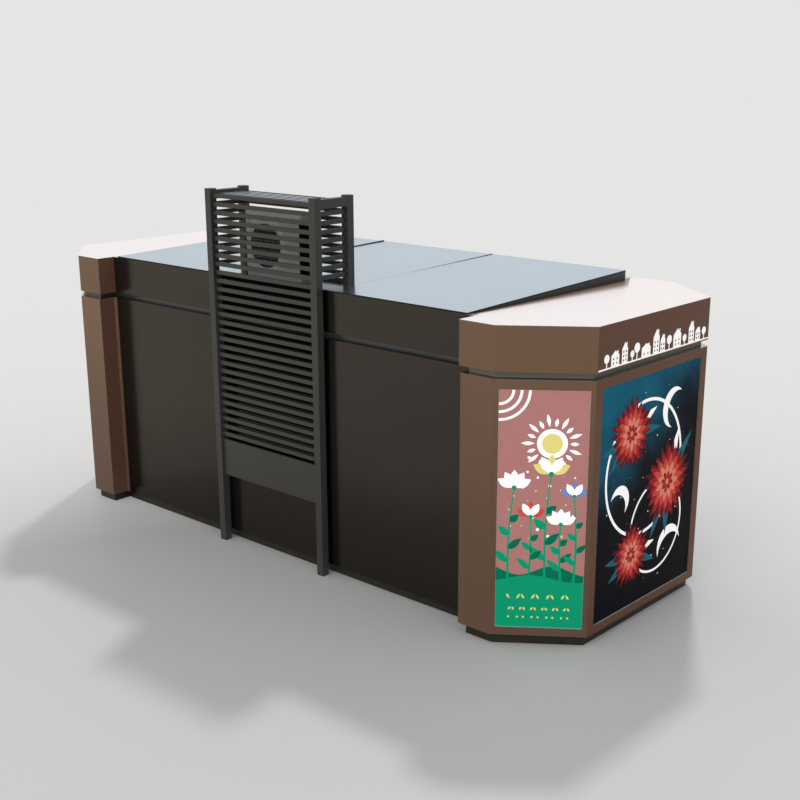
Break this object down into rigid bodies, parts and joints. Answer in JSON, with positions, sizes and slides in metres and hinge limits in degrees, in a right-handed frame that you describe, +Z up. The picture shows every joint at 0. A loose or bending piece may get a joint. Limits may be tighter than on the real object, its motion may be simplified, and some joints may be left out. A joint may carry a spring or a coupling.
{
  "type": "street kiosk",
  "caption": "Street kiosk with faceted poster pods at both ends, a recessed middle bay under a low wedge roof, and a louvred screen hiding a roof condenser.",
  "frame": {"origin": "on the ground, at the middle of the plan", "axes": "+X along the kiosk, +Y towards the serving front, +Z up"},
  "size_m": [6.64, 2.586, 3.3914],
  "materials": {
    "brown_paint": "satin",
    "pale_cap": "satin",
    "dark_panel": "semi-gloss",
    "dark_frame": "satin",
    "shutter_grey": "satin",
    "roof_sheet": "gloss",
    "charcoal_steel": "satin",
    "condenser_grey": "matt",
    "guard_black": "matt",
    "end_print": "gloss",
    "chamfer_print": "gloss",
    "floor_board": "matt"
  },
  "bodies": {
    "root": {"right_piers": "brown_paint", "left_piers": "brown_paint", "right_chamfer_walls": "brown_paint", "left_chamfer_walls": "brown_paint", "right_end_wall": "brown_paint", "left_end_wall": "brown_paint", "right_header": "brown_paint", "left_header": "brown_paint", "right_cap": "pale_cap", "left_cap": "pale_cap", "rear_wall": "dark_panel", "rear_fascia": "dark_panel", "front_fascia": "dark_panel", "front_soffit": "dark_panel", "roof_gables": "dark_panel", "roof_upstand": "dark_panel", "roof_rafters": "dark_panel", "base_frame": "dark_frame", "ring_beam": "dark_frame", "front_posts": "dark_frame", "front_shutters": "shutter_grey", "roof_sheets": "roof_sheet", "front_deck": "roof_sheet", "screen_tall_posts": "charcoal_steel", "screen_roof_posts": "charcoal_steel", "screen_side_rails": "charcoal_steel", "screen_top_bars": "charcoal_steel", "screen_panel": "charcoal_steel", "rear_slats": "charcoal_steel", "cage_front_slats": "charcoal_steel", "cage_side_slats": "charcoal_steel", "condenser_casing": "condenser_grey", "condenser_lid": "condenser_grey", "condenser_feet": "condenser_grey", "condenser_fan_guard": "guard_black", "right_end_poster": "end_print", "left_end_poster": "end_print", "right_chamfer_posters": "chamfer_print", "left_chamfer_posters": "chamfer_print", "floor_deck": "floor_board"}
  },
  "joints": []
}
